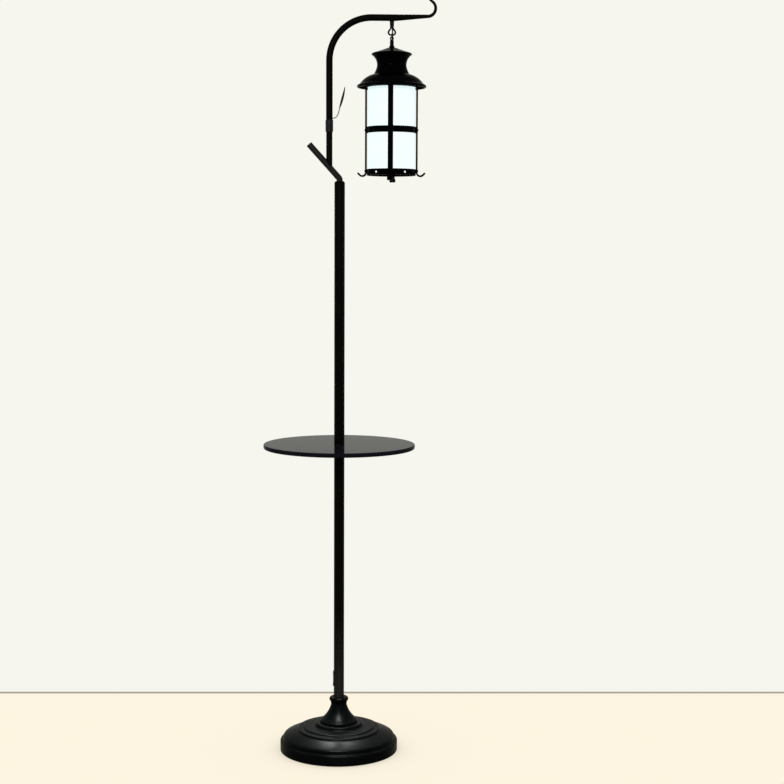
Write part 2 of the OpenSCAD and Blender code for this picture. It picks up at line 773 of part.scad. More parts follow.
module arm_grommet() {
    color("#2a2a2a") translate([outlet_x, outlet_y, outlet_z - 1]) ring(grommet_d / 2, lead_d / 2 + 0.1, 5);
}

// Route of the free lead, which hangs with slack behind the hanger
cap_hole = [hang_x + 1.6, 8.6];
lead_join = [hang_x + 1.8, 18.4, loop_z + 3];
upper_route = [
    [outlet_x, outlet_y, outlet_z - 1], [outlet_x + 0.2, outlet_y + 0.4, outlet_z - 6],
    [hang_x + 1.2, 10.6, outlet_z - 12.8], [hang_x + 1.8, 16.6, outlet_z - 19.4], lead_join];
lead_step = [0, 0, 0.3];
lower_route = [
    lead_join - 2 * lead_step, [hang_x + 1.8, 18.6, loop_z - 5], [hang_x + 1.8, 14.6, loop_z - 14],
    [hang_x + 1.6, 9.4, cap_top + 7], [cap_hole[0], cap_hole[1], cap_top + 1.6]];

module lead_upper() {
    color("#1a1a1a") bar(concat(smooth(upper_route, 4), [lead_join - lead_step]), lead_d / 2, 8);
}

module lead_lower() {
    color("#1a1a1a") bar(concat([lead_join - lead_step], smooth(lower_route, 4)), lead_d / 2, 8);
}

module swing_ring() {
    color(paint) translate([hang_x, 0, ring_z]) rotate([0, 90, 0])
        rotate_extrude() translate([ring_r, 0]) circle(r = ring_wire_d / 2, $fn = 24);
}

// ---- Lantern roof ----

bolt_end_z = brim_z + 6.4;

module eye_bolt() {
    color(paint) union() {
        translate([hang_x, 0, eye_z]) rotate([90, 0, 0])
            rotate_extrude() translate([eye_r, 0]) circle(r = eye_wire_d / 2, $fn = 24);
        translate([hang_x, 0, bolt_end_z]) cylinder(r = bolt_d / 2, h = eye_z - eye_r - 0.2 - bolt_end_z);
    }
}

module cap_collar() {
    color(paint) translate([hang_x, 0, cap_top]) difference() {
        cylinder(r1 = bolt_d / 2 + 2.2, r2 = bolt_d / 2 + 1, h = collar_h);
        translate([0, 0, -1]) cylinder(r = bolt_d / 2 + snug, h = collar_h + 2);
    }
}

module lantern_cap() {
    hub = bolt_d / 2 + 5;
    rim = cap_d / 2;
    skin = concat([[hub, cap_top]], bow([hub + 1.6, cap_top - 0.6], [rim - 1.8, cap_seat + 2.4], -0.2, 6));
    color(paint) translate([hang_x, 0, 0]) difference() {
        rotate_extrude() polygon(concat(
            [[bolt_d / 2 + snug, cap_top]], skin,
            [[rim, cap_seat + 1.2], [rim, cap_seat + 0.2], [rim - 0.6, cap_seat], [rim - 2.8, cap_seat]],
            moved(reversed(skin), [-0.4, -sheet]), [[bolt_d / 2 + snug, cap_top - sheet]]));
        translate([cap_hole[0] - hang_x, cap_hole[1], cap_top - 5]) cylinder(r = grommet_d / 2 + snug, h = 10);
    }
}

module cap_grommet() {
    color("#2a2a2a") translate([cap_hole[0], cap_hole[1], cap_top - 3]) ring(grommet_d / 2, lead_d / 2 + 0.1, 4.6);
}

module chimney() {
    waist_z = roof_top + chimney_h * 0.45;
    outer = concat(
        bow([cap_d / 2 - 1, cap_seat], [waist_d / 2, waist_z + 2], -2.6, 10),
        bow([waist_d / 2, waist_z - 1], [chimney_foot_r, roof_top], -0.9, 8));
    color(paint) translate([hang_x, 0, 0]) rotate_extrude()
        polygon(concat(outer, moved(reversed(outer), [-sheet, 0])));
}

// The roof's upper face: a flat top, a round shoulder and a flared brim
brim_r = brim_d / 2;
roof_skin = concat(
    [[chimney_foot_r + 0.3, roof_top], [chimney_foot_r + 1.7, roof_top - 0.9]],
    bow([chimney_foot_r + 3, roof_top - 1.6], [brim_r - 7.5, brim_z + 8.6], 2.4, 12),
    bow([brim_r - 7, brim_z + 8.2], [brim_r - 0.4, brim_z + 3], -0.5, 4),
    [[brim_r, brim_z + brim_t]]);
roof_under = moved(reversed(roof_skin), [-0.2, -sheet]);

module roof() {
    opening_r = chimney_foot_r - 4;
    color(paint) translate([hang_x, 0, 0]) rotate_extrude() polygon(concat(
        [[opening_r, roof_top]], roof_skin, [[brim_r, brim_z], [brim_r - 1.6, brim_z]],
        roof_under, [[opening_r, roof_top - sheet]]));
}

// Height of the roof's underside at a radius, which the gallery is pulled up against
roof_under_rows = [for (p = reversed(roof_under)) [p[0], p[1]]];
gallery_top = lookup(band_out, roof_under_rows) - 0.15;
gallery_z = gallery_top - sheet;
middle_band_z = brim_z - band_drop;
bottom_band_z = middle_band_z - band_span;
rivet_levels = [gallery_z - 5, middle_band_z, bottom_band_z + rivet_lift];
strap_angles = [-90 + lantern_turn, 90 + lantern_turn, 180 + lantern_turn, lantern_turn];

module at_angle(a) {
    translate([hang_x, 0, 0]) rotate([0, 0, a]) children();
}

// Holes through bands and straps for the rivets
module rivet_holes() {
    for (a = strap_angles, z = rivet_levels)
        at_angle(a) translate([band_in - 2, 0, z]) rotate([0, 90, 0])
            cylinder(r = rivet_r + snug, h = strap_out);
    for (z = [middle_band_z, bottom_band_z])
        at_angle(strap_angles[0] - seam_angle) translate([band_in - 2, 0, z]) rotate([0, 90, 0])
            cylinder(r = rivet_r * 0.7 + snug, h = band_t + 4);
}

module gallery() {
    vents = 6;
    color(paint) difference() {
        translate([hang_x, 0, 0]) rotate_extrude() polygon([
            [bolt_d / 2 + snug, gallery_z], [band_in, gallery_z], [band_in, gallery_z - gallery_flange],
            [band_out, gallery_z - gallery_flange], [band_out, gallery_top], [bolt_d / 2 + snug, gallery_top]]);
        for (i = [0 : vents - 1]) at_angle(i * 360 / vents + 30)
            translate([vent_ring_r, 0, gallery_z - 1]) cylinder(r = vent_r, h = sheet + 2);
        rivet_holes();
    }
}

stirrup_z = gallery_z - stirrup_h;
strip = 1.5;

module stirrup() {
    color(steel) translate([hang_x, 0, 0]) difference() {
        translate([-stirrup_w / 2, -stirrup_strap / 2, stirrup_z]) cube([stirrup_w, stirrup_strap, stirrup_h]);
        translate([-stirrup_w / 2 + strip, -stirrup_strap, stirrup_z + strip])
            cube([stirrup_w - 2 * strip, stirrup_strap * 2, stirrup_h - 2 * strip]);
        translate([0, 0, stirrup_z + stirrup_h / 2]) cylinder(r = bolt_d / 2 + snug, h = stirrup_h);
        translate([0, 0, stirrup_z - 1]) cylinder(r = rod_r + snug, h = stirrup_h / 2);
    }
}

module bolt_nut() {
    h = 4;
    color(steel) translate([hang_x, 0, gallery_z - strip - h]) difference() {
        hex(bolt_d * 0.8, h);
        translate([0, 0, -1]) cylinder(r = bolt_d / 2 + snug, h = h + 2);
    }
}

holder_z = stirrup_z - holder_len;
holder_cavity_z = holder_z + bulb_cap_len + 5;

module holder_nipple() {
    color(brass) translate([hang_x, 0, holder_cavity_z + 6])
        ring(rod_r, nipple_bore / 2, stirrup_z + strip + 5.4 - holder_cavity_z - 6);
}

module holder_nuts() {
    h = 3;
    color(brass) translate([hang_x, 0, stirrup_z + strip]) difference() {
        hex(thread_d * 0.7, h);
        translate([0, 0, -1]) cylinder(r = rod_r + snug, h = h + 2);
    }
}

module lampholder() {
    color(bakelite) translate([hang_x, 0, 0]) difference() {
        rotate_extrude() polygon([
            [0, stirrup_z], [holder_d / 2 - 6, stirrup_z], [holder_d / 2 - 1.5, stirrup_z - 10],
            [holder_d / 2 - 1.5, stirrup_z - 22], [holder_d / 2, stirrup_z - 24],
            [holder_d / 2, holder_z], [0, holder_z]]);
        translate([0, 0, holder_z - 1]) cylinder(r = bulb_cap_d / 2 + 0.3, h = holder_cavity_z - holder_z + 1);
        translate([0, 0, holder_cavity_z - 1]) cylinder(r = nipple_bore / 2, h = holder_len);
        translate([0, 0, holder_cavity_z + 6]) cylinder(r = rod_r + snug, h = holder_len);
    }
}

module holder_contact() {
    color(brass) translate([hang_x, 0, holder_cavity_z - 1.2]) cylinder(r = 5, h = 1.2);
}

module bulb_cap() {
    z = holder_cavity_z - 1.3 - bulb_cap_len;
    turns = 6;
    pitch = 3.3;
    thread = [for (i = [0 : turns - 1], side = [0, 1])
        [bulb_cap_d / 2 - 0.8 * side, z + 3 + (i + side / 2) * pitch]];
    color(steel) translate([hang_x, 0, 0]) rotate_extrude() polygon(concat(
        [[0, z], [bulb_cap_d / 2 - 0.6, z]], thread,
        [[bulb_cap_d / 2 - 2, z + bulb_cap_len - 2.6], [4.6, z + bulb_cap_len - 0.6],
         [4, z + bulb_cap_len], [0, z + bulb_cap_len]]));
}

module bulb_glass() {
    top = holder_cavity_z - 1.35 - bulb_cap_len;
    r = bulb_d / 2;
    neck_r = bulb_cap_d / 2 - 1;
    ball_z = top - bulb_len + r;
    color("#f6f6f2") translate([hang_x, 0, 0]) rotate_extrude() polygon(concat(
        [[0, top]], bow([neck_r, top], [r * cos(25), ball_z + r * sin(25)], -1.5, 8),
        arc([0, ball_z], r, 20, -90, 16)));
}

// ---- Lantern body ----

glass_z = bottom_band_z - band_w / 2 + glass_seat;

module glass_cylinder() {
    color(opal) translate([hang_x, 0, glass_z]) ring(glass_d / 2, glass_d / 2 - glass_wall, glass_len);
}

module middle_band() {
    color(paint) difference() {
        translate([hang_x, 0, middle_band_z - band_w / 2]) ring(band_out, band_in, band_w);
        rivet_holes();
    }
}

module bottom_band() {
    color(paint) difference() {
        translate([hang_x, 0, bottom_band_z - band_w / 2]) ring(band_out, band_in, band_w);
        rivet_holes();
        for (a = [strap_angles[0], strap_angles[1]], side = [-1, 1])
            at_angle(a + side * sight_angle) translate([band_in - 2, 0, bottom_band_z])
                rotate([0, 90, 0]) cylinder(r = sight_d / 2, h = band_t + 4);
    }
}

// A flat strap with a hook at its foot and a round end; drop lowers the hook
module strap(a, drop) {
    hook_z = bottom_band_z - drop;
    top = gallery_z - 2;
    middle_r = band_out + strap_t / 2;
    past_end = 6;
    color(paint) difference() {
        at_angle(a) {
            translate([band_out, -strap_w / 2, hook_z]) cube([strap_t, strap_w, top - hook_z]);
            translate([middle_r + hook_r, 0, hook_z]) rotate([90, 0, 0])
                translate([0, 0, -strap_w / 2]) rotate_extrude(angle = hook_turn + past_end, start = 180)
                    translate([hook_r - strap_t / 2, 0]) square([strap_t, strap_w]);
            translate([middle_r + hook_r, 0, hook_z]) rotate([0, -90 - hook_turn, 0])
                translate([0, 0, hook_r - strap_t / 2]) cylinder(r = hook_end_d / 2, h = strap_t, $fn = 48);
        }
        rivet_holes();
    }
}

module strap_front() {
    strap(strap_angles[0], hook_extra_drop);
}

module strap_back() {
    strap(strap_angles[1], hook_extra_drop);
}

module strap_left() {
    strap(strap_angles[2], 0);
}

module strap_right() {
    strap(strap_angles[3], 0);
}

module rivet(from, to, r) {
    translate([from, 0, 0]) rotate([0, 90, 0]) cylinder(r = r, h = to - from);
    translate([to, 0, 0]) rotate([0, 90, 0]) cylinder(r1 = r + 1.2, r2 = r * 0.6, h = rivet_head_t);
}

module strap_rivets() {
    color(paint) {
        for (a = strap_angles, z = rivet_levels)
            at_angle(a) translate([0, 0, z]) rivet(band_in, strap_out, rivet_r);
        for (z = [middle_band_z, bottom_band_z])
            at_angle(strap_angles[0] - seam_angle) translate([0, 0, z])
                rivet(band_in, band_out + 0.05, rivet_r * 0.7);
    }
}

// Four tabs inside the bottom band, which the glass stands on
module glass_clips() {
    clip_w = 9;
    clip_t = 1.2;
    color(paint) for (i = [0 : 3])
        at_angle(strap_angles[0] + 50 + 90 * i) translate([0, 0, glass_z - clip_t - 0.1])
            intersection() {
                translate([0, -clip_w / 2, 0]) cube([band_out, clip_w, clip_t]);
                ring(band_in - snug, glass_d / 2 - glass_wall + 0.3, clip_t);
            }
}

base_pad();
base_weight();
base_cover();
neck_bell();
base_rod();
base_nut();
base_washer();
lower_pole();
lower_foot_plug();
lower_top_plug();
inlet_plate();
inlet_screws();
pole_nipple();
table_top();
table_washer();
upper_pole();
upper_foot_plug();
pole_cap();
branch_tube();
branch_end_cap();
arm_post();
ferrule();
stop_screw();
stand_wire();
crook_upright();
crook_bend();
crook_arm();
crook_scroll();
crook_wire();
leaf_stem();
leaf_blade();
hanger_loop();
arm_grommet();
lead_upper();
swing_ring();
eye_bolt();
cap_collar();
lantern_cap();
chimney();
roof();
gallery();
bolt_nut();
cap_grommet();
lead_lower();
stirrup();
holder_nipple();
holder_nuts();
lampholder();
holder_contact();
bulb_cap();
bulb_glass();
glass_cylinder();
middle_band();
bottom_band();
strap_front();
strap_back();
strap_left();
strap_right();
strap_rivets();
glass_clips();
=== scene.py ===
from math import cos, sin, radians, pi

import bmesh
import bpy
import numpy as np
from mathutils import Matrix, Vector


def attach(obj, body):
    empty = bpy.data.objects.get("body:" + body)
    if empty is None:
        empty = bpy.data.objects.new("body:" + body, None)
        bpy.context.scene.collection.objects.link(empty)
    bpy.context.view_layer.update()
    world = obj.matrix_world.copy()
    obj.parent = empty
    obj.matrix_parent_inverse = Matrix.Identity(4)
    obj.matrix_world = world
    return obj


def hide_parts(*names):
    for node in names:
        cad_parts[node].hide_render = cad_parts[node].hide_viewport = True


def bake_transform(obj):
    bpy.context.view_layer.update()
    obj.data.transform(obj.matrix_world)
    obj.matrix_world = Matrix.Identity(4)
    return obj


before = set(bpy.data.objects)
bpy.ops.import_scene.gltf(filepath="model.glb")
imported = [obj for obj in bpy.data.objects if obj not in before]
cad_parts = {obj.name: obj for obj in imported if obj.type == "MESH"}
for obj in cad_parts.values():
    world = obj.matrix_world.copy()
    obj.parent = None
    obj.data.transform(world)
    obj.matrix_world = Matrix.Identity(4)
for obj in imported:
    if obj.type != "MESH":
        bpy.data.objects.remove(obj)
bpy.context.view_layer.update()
mm = 0.001  # the pieces below are written in millimetres


def aimCamera(view):
    yaw, pitch, roll = radians(view["yaw"]), radians(view["pitch"]), radians(view["roll"])
    ahead = np.array([sin(yaw) * cos(pitch), cos(yaw) * cos(pitch), -sin(pitch)])
    side = np.array([cos(yaw), -sin(yaw), 0.0])
    top = np.cross(side, ahead)
    across = side * cos(roll) + top * sin(roll)
    up = top * cos(roll) - side * sin(roll)
    lens = bpy.data.cameras.new("photoCamera")
    lens.sensor_width, lens.lens, lens.clip_end = 36, view["lens"], 50
    made = bpy.data.objects.new("photoCamera", lens)
    made.matrix_world = Matrix([
        [across[0], up[0], -ahead[0], view["place"][0]],
        [across[1], up[1], -ahead[1], view["place"][1]],
        [across[2], up[2], -ahead[2], view["place"][2]],
        [0, 0, 0, 1]])
    bpy.context.scene.collection.objects.link(made)
    bpy.context.scene.camera = made


photoCamera = {"yaw": 1.893, "pitch": 5.3, "roll": 0.267, "lens": 73.47, "place": (0, -3.3791, 1.0884)}
aimCamera(photoCamera)
print("camera set")


class Wire:  # a shader socket that arithmetic works on

    def __init__(self, tree, socket):
        self.tree, self.socket = tree, socket

    def maths(self, operation, other):
        return addNode(self.tree, "ShaderNodeMath", {0: self, 1: other}, {"operation": operation})

    def __add__(self, other):
        return self.maths("ADD", other)

    def __mul__(self, other):
        return self.maths("MULTIPLY", other)

    __radd__, __rmul__ = __add__, __mul__

    def ramp(self, low, high, dark, light):  # colours between two limits of this value
        stops = ((low, dark), (high, light))
        return addNode(self.tree, "ShaderNodeValToRGB", {0: self}, {"stops": stops})


def addNode(tree, kind, sockets, settings={}, out=0):
    # Any node: its settings first, then a value or a link for each of its sockets
    made = tree.nodes.new(kind)
    for key, value in settings.items():
        if key == "stops":
            for stop, (place, colour) in zip(made.color_ramp.elements, value):
                stop.position, stop.color = place, (*colour, 1)
        else:
            setattr(made, key, value)
    for entry, value in sockets.items():
        if isinstance(value, Wire):
            tree.links.new(value.socket, made.inputs[entry])
        else:
            made.inputs[entry].default_value = value
    return Wire(tree, made.outputs[out])


def newMaterial(name, **constants):
    made = bpy.data.materials.new(name)
    made.use_nodes = True
    shader = made.node_tree.nodes["Principled BSDF"]
    for key, value in constants.items():
        shader.inputs[key.replace("_", " ")].default_value = value
    place = addNode(made.node_tree, "ShaderNodeTexCoord", {}, out="Object")

    def feed(entry, wire):
        made.node_tree.links.new(wire.socket, shader.inputs[entry])

    return made, place, feed


def noise(place, scale, detail, rough=0.5):
    return addNode(place.tree, "ShaderNodeTexNoise",
                   {"Vector": place, "Scale": scale, "Detail": detail, "Roughness": rough})


def bump(height, strength, depth):
    return addNode(height.tree, "ShaderNodeBump", {"Height": height, "Strength": strength, "Distance": depth})


def paintMaterial(name, look):
    # Sprayed paint: cloudy tone, fine orange peel, sparse pale dust specks
    made, place, feed = newMaterial(name, Specular_IOR_Level=look["specular"])
    cloud = noise(place, 14, 4)
    specks = noise(place, 900, 1).ramp(look["speck"], look["speck"] + 0.04, (0, 0, 0), (1, 1, 1))
    feed("Base Color", (cloud * 0.75 + specks * 0.25).ramp(0.22, 0.62, look["dark"], look["light"]))
    feed("Roughness", cloud * look["spread"] + (look["rough"] - 0.5 * look["spread"]))
    feed("Normal", bump(noise(place, look["peel"], 2), look["strength"], 0.0004))
    return made


satinBlack = paintMaterial("satinBlack", {
    "dark": (0.0018, 0.0017, 0.0015), "light": (0.0046, 0.0044, 0.004), "speck": 0.74, "specular": 0.015,
    "rough": 0.38, "spread": 0.1, "peel": 620, "strength": 0.06})
baseBlack = paintMaterial("baseBlack", {
    "dark": (0.0002, 0.0003, 0.0003), "light": (0.0006, 0.0008, 0.0008), "speck": 0.72, "specular": 0.01,
    "rough": 0.34, "spread": 0.1, "peel": 520, "strength": 0.07})
glossBlack = paintMaterial("glossBlack", {
    "dark": (0.0006, 0.0006, 0.0007), "light": (0.0018, 0.0018, 0.0019), "speck": 0.78, "specular": 0.004,
    "rough": 0.12, "spread": 0.04, "peel": 420, "strength": 0.02})
branchGrey = paintMaterial("branchGrey", {
    "dark": (0.006, 0.006, 0.0065), "light": (0.014, 0.014, 0.0148), "speck": 0.72, "specular": 0.1,
    "rough": 0.42, "spread": 0.12, "peel": 620, "strength": 0.08})
tableBlack = paintMaterial("tableBlack", {
    "dark": (0.009, 0.0086, 0.014), "light": (0.016, 0.0155, 0.025), "speck": 0.75, "specular": 0.0052,
    "rough": 0.12, "spread": 0.04, "peel": 260, "strength": 0.02})


def metalMaterial(name, look):
    # Bare metal: fine scratches round the turning, and cloudy tarnish
    made, place, feed = newMaterial(name, Metallic=1.0)
    tarnish = noise(place, look["cloud"], 5)
    squeezed = addNode(place.tree, "ShaderNodeMapping", {"Vector": place, "Scale": (1, 1, 30)})
    scratch = noise(squeezed, 60, 3)
    feed("Base Color", tarnish.ramp(0.3, 0.7, look["dark"], look["light"]))
    feed("Roughness", tarnish * 0.25 + (look["rough"] - 0.12))
    feed("Normal", bump(scratch, 0.12, 0.0002))
    return made


platedSteel = metalMaterial("platedSteel", {
    "dark": (0.32, 0.33, 0.34), "light": (0.56, 0.57, 0.58), "rough": 0.34, "cloud": 60})
turnedBrass = metalMaterial("turnedBrass", {
    "dark": (0.42, 0.28, 0.09), "light": (0.68, 0.49, 0.19), "rough": 0.3, "cloud": 50})


def plainMaterial(name, look):
    # Moulded, cast or rolled stuff: grain in its tone, its shine and its relief
    made, place, feed = newMaterial(name, Metallic=look.get("metal", 0.0))
    grain = noise(place, look["grain"], 5, 0.6)
    feed("Base Color", grain.ramp(0.3, 0.7, look["dark"], look["light"]))
    feed("Roughness", grain * 0.2 + (look["rough"] - 0.1))
    feed("Normal", bump(grain, look["strength"], look["depth"]))
    return made


castIron = plainMaterial("castIron", {
    "dark": (0.018, 0.017, 0.016), "light": (0.05, 0.046, 0.043), "rough": 0.72, "grain": 240,
    "strength": 0.6, "depth": 0.0006, "metal": 0.3})
padFoam = plainMaterial("padFoam", {
    "dark": (0.012, 0.012, 0.013), "light": (0.03, 0.03, 0.032), "rough": 0.94, "grain": 900,
    "strength": 0.7, "depth": 0.0005})
wireSheath = plainMaterial("wireSheath", {
    "dark": (0.006, 0.006, 0.007), "light": (0.014, 0.014, 0.015), "rough": 0.5, "grain": 380,
    "strength": 0.15, "depth": 0.0002})
grommetRubber = plainMaterial("grommetRubber", {
    "dark": (0.008, 0.008, 0.008), "light": (0.018, 0.018, 0.019), "rough": 0.68, "grain": 520,
    "strength": 0.2, "depth": 0.0002})
bakelite = plainMaterial("bakelite", {
    "dark": (0.014, 0.010, 0.008), "light": (0.03, 0.022, 0.017), "rough": 0.34, "grain": 130,
    "strength": 0.08, "depth": 0.0002})


def glassMaterial(name, look):
    # Opal glass lit from within: a cold white glow, finely acid-etched on the outside
    made, place, feed = newMaterial(name, Emission_Strength=look["glow"], IOR=1.5)
    cloud = noise(place, 22, 3)
    feed("Base Color", cloud.ramp(0.3, 0.7, look["dark"], look["light"]))
    feed("Emission Color", cloud.ramp(0.3, 0.7, look["dim"], look["bright"]))
    feed("Roughness", cloud * 0.1 + look["rough"])
    feed("Normal", bump(noise(place, 1400, 2), 0.05, 0.0002))
    return made


frostedGlass = glassMaterial("frostedGlass", {
    "dark": (0.3, 0.32, 0.32), "light": (0.34, 0.36, 0.36), "dim": (0.82, 0.96, 0.96),
    "bright": (0.84, 0.98, 0.98), "glow": 0.88, "rough": 0.42})
bulbGlass = glassMaterial("bulbGlass", {
    "dark": (0.86, 0.86, 0.84), "light": (0.92, 0.92, 0.9), "dim": (1.0, 0.97, 0.9),
    "bright": (1.0, 0.99, 0.95), "glow": 1.6, "rough": 0.3})

print("materials made")


def skin(name, grids, material, sharp=32):
    # Each grid is rows x columns x 3; its columns close round, and "loop" also closes its rows.
    # "caps" puts a fan over the first or last row.
    points, faces, start = [], [], 0
    for grid, loop, caps in grids:
        grid = np.asarray(grid, float)
        rows, columns = grid.shape[:2]
        index = start + np.arange(rows * columns).reshape(rows, columns)
        lower = index if loop else index[:-1]
        upper = np.roll(index, -1, 0) if loop else index[1:]
        quads = np.stack([lower, np.roll(lower, -1, 1), np.roll(upper, -1, 1), upper], -1).reshape(-1, 4)
        faces += quads.tolist()
        points.append(grid.reshape(-1, 3))
        start += rows * columns
        for cap in caps:
            ringIndex = index[0] if cap == "first" else index[-1]
            points.append(grid[0 if cap == "first" else -1].mean(0)[None])
            pair = np.stack([ringIndex, np.roll(ringIndex, -1), np.full(columns, start)], -1)
            faces += (pair[:, ::-1] if cap == "first" else pair).tolist()
            start += 1
    mesh = bpy.data.meshes.new(name)
    mesh.from_pydata(np.concatenate(points) * mm, [], faces)
    mesh.validate()
    mesh.shade_smooth()
    mesh.set_sharp_from_angle(angle=radians(sharp))
    mesh.materials.append(material)
    made = bpy.data.objects.new(name, mesh)
    bpy.context.scene.collection.objects.link(made)
    return made


def outward(made):  # turns the faces to the outside
    work = bmesh.new()
    work.from_mesh(made.data)
    bmesh.ops.recalc_face_normals(work, faces=work.faces)
    work.to_mesh(made.data)
    work.free()
    return made


def softened(corners, steps=4):
    # Each corner (r, z, cut) gives way to the curve (1-t)^2 a + 2t(1-t) b + t^2 c, where a and c lie
    # cut away from the corner b along its two edges
    corners = np.array(corners, float)
    place, cut = corners[:, :2], corners[:, 2]
    out = [place[:1]]
    t = np.linspace(0, 1, steps + 1)[:, None]
    for i in range(1, len(corners) - 1):
        if cut[i] == 0:
            out.append(place[i:i + 1])
            continue
        back, on = place[i - 1] - place[i], place[i + 1] - place[i]
        a = place[i] + back / np.linalg.norm(back) * min(cut[i], 0.48 * np.linalg.norm(back))
        c = place[i] + on / np.linalg.norm(on) * min(cut[i], 0.48 * np.linalg.norm(on))
        out.append((1 - t) ** 2 * a + 2 * t * (1 - t) * place[i] + t ** 2 * c)
    out.append(place[-1:])
    return np.concatenate(out)


def bowed(p, q, sag, steps):
    # p + (q - p) t, pushed to the left by 4 sag t (1 - t)
    p, q = np.array(p, float), np.array(q, float)
    t = np.linspace(0, 1, steps + 1)[:, None]
    left = np.array([p[1] - q[1], q[0] - p[0]]) / np.linalg.norm(q - p)
    return p + (q - p) * t + left * 4 * sag * t * (1 - t)


def circleArc(centre, radius, start, end, steps):
    # centre + radius (cos a, sin a)
    a = np.radians(np.linspace(start, end, steps + 1))[:, None]
    return np.array(centre, float) + radius * np.hstack([np.cos(a), np.sin(a)])


def turned(profile, centre, sides):
    # (x, y, z) = (cx + r cos a, cy + r sin a, z) for each profile point (r, z)
    profile = np.asarray(profile, float)
    a = np.linspace(0, 2 * pi, sides, endpoint=False)
    r, z = profile[:, :1], profile[:, 1:2]
    return np.stack([centre[0] + r * np.cos(a), centre[1] + r * np.sin(a), z + 0 * a], -1)


def walled(outline, wall):
    # The outline and, back along it, the same line moved inwards by the wall
    outline = np.asarray(outline, float)
    along = np.gradient(outline, axis=0)
    inward = np.stack([-along[:, 1], along[:, 0]], -1) / np.linalg.norm(along, axis=1)[:, None]
    return np.concatenate([outline, (outline + inward * wall)[::-1]])


def smoothLine(places, steps):
    # Catmull-Rom curve through the places
    places = np.array(places, float)
    padded = np.concatenate([places[:1], places, places[-1:]])
    a, b, c, d = padded[:-3, None], padded[1:-2, None], padded[2:-1, None], padded[3:, None]
    t = (np.arange(steps) / steps)[None, :, None]
    curve = 0.5 * (2 * b + (c - a) * t + (2 * a - 5 * b + 4 * c - d) * t ** 2
                   + (3 * b - a - 3 * c + d) * t ** 3)
    return np.concatenate([curve.reshape(-1, places.shape[1]), places[-1:]])


def inSpace(line):
    # (x, 0, z) for each point (x, z)
    line = np.asarray(line, float)
    return np.stack([line[:, 0], np.zeros(len(line)), line[:, 1]], -1)


def sweptAxes(path):
    # Along, across and up at each point of the path; across is as near to Y as the path lets it be
    along = np.gradient(path, axis=0)
    along /= np.linalg.norm(along, axis=1)[:, None]
    up = np.cross(along, [0.0, 1.0, 0.0])
    up /= np.linalg.norm(up, axis=1)[:, None]
    return along, np.cross(up, along), up


def swept(path, radius, sides):
    # path(t) + radius(t) (across(t) cos a + up(t) sin a)
    path = np.asarray(path, float)
    along, across, up = sweptAxes(path)
    a = np.linspace(0, 2 * pi, sides, endpoint=False)[None, :, None]
    radius = np.broadcast_to(np.asarray(radius, float), len(path))[:, None, None]
    return path[:, None] + radius * (across[:, None] * np.cos(a) + up[:, None] * np.sin(a))


def roundEnded(path, radius, steps=5):
    # Adds a small quarter-round to both ends of a path, whose radius falls as cos
    path = np.asarray(path, float)
    radius = np.broadcast_to(np.asarray(radius, float), len(path))
    turn = np.linspace(0, pi / 2, steps + 1)[1:]
    tail = path[-1] - path[-2]
    head = path[0] - path[1]
    tail, head = tail / np.linalg.norm(tail), head / np.linalg.norm(head)
    endPath = path[-1] + tail * radius[-1] * np.sin(turn)[:, None] * 0.98
    startPath = path[0] + head * radius[0] * np.sin(turn)[:, None] * 0.98
    fall = np.maximum(np.cos(turn), 0.08)
    return (np.concatenate([startPath[::-1], path, endPath]),
            np.concatenate([(radius[0] * fall)[::-1], radius, radius[-1] * fall]))


def show(made, body, *nodes):
    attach(made, body)
    if nodes:
        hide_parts(*nodes)
    return made


def lathe(name, line, material, body, node, sides, centre=(0, 0)):
    # A closed profile carried round an upright axis
    return show(outward(skin(name, [(turned(line, centre, sides), True, ())], material)), body, node)


lead = {
    "width": 3,
    "step": [[109.8, 18.4, 1522.5]],  # the two lengths meet here, both upright
    "upper": [[108, 4.2, 1547.6], [108.2, 4.6, 1542.6], [109.2, 10.6, 1535.8], [109.8, 16.6, 1529.2],
              [109.8, 18.4, 1522.8]],
    "lower": [[109.8, 18.4, 1522.2], [109.8, 18.6, 1514.8], [109.8, 14.6, 1505.8], [109.6, 9.4, 1499.6],
              [109.6, 8.6, 1494.2]],
    "upperEnds": ((0, 0, 1.5476), (0, 0, 1.5225)),  # metres, where the bend starts and ends
    "lowerEnds": ((0, 0, 1.5225), (0, 0, 1.4942))}


def makeLead(name, node, path):
    made = outward(skin(name, [(swept(path, lead["width"] / 2, 20), False, ("first", "last"))], wireSheath))
    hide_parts(node)
    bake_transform(made)
    return made


upperPath = np.concatenate([smoothLine(lead["upper"], 10), lead["step"]])
lowerPath = np.concatenate([lead["step"], smoothLine(lead["lower"], 10)])
makeLead("upperLead", "lead_upper", upperPath)
makeLead("lowerLead", "lead_lower", lowerPath)
print("lead made")


base = {
    "outline": [(126, 1, 0), (126, 22, 2.4), (120.6, 22.6, 0.7), (119.5, 24, 0.8), (119.5, 31.6, 3.6),
                (113.6, 34.4, 1.4), (106, 37.6, 3), (98, 40.6, 3), (89.2, 43.4, 0.5), (88, 44.4, 0.3),
                (88, 48, 2.6), (78, 48.3, 0.6), (75.6, 48.8, 0.5), (75, 51.5, 2.2), (64, 51.9, 0.8),
                (53, 52.4, 1.2), (50.6, 54, 1.2), (50, 60, 2.6), (43.5, 60, 0.4), (5.2, 60, 0)],
    "wall": 1.2}
lathe("baseCover", walled(softened(base["outline"]), base["wall"]), baseBlack, "root", "base_cover", 192)

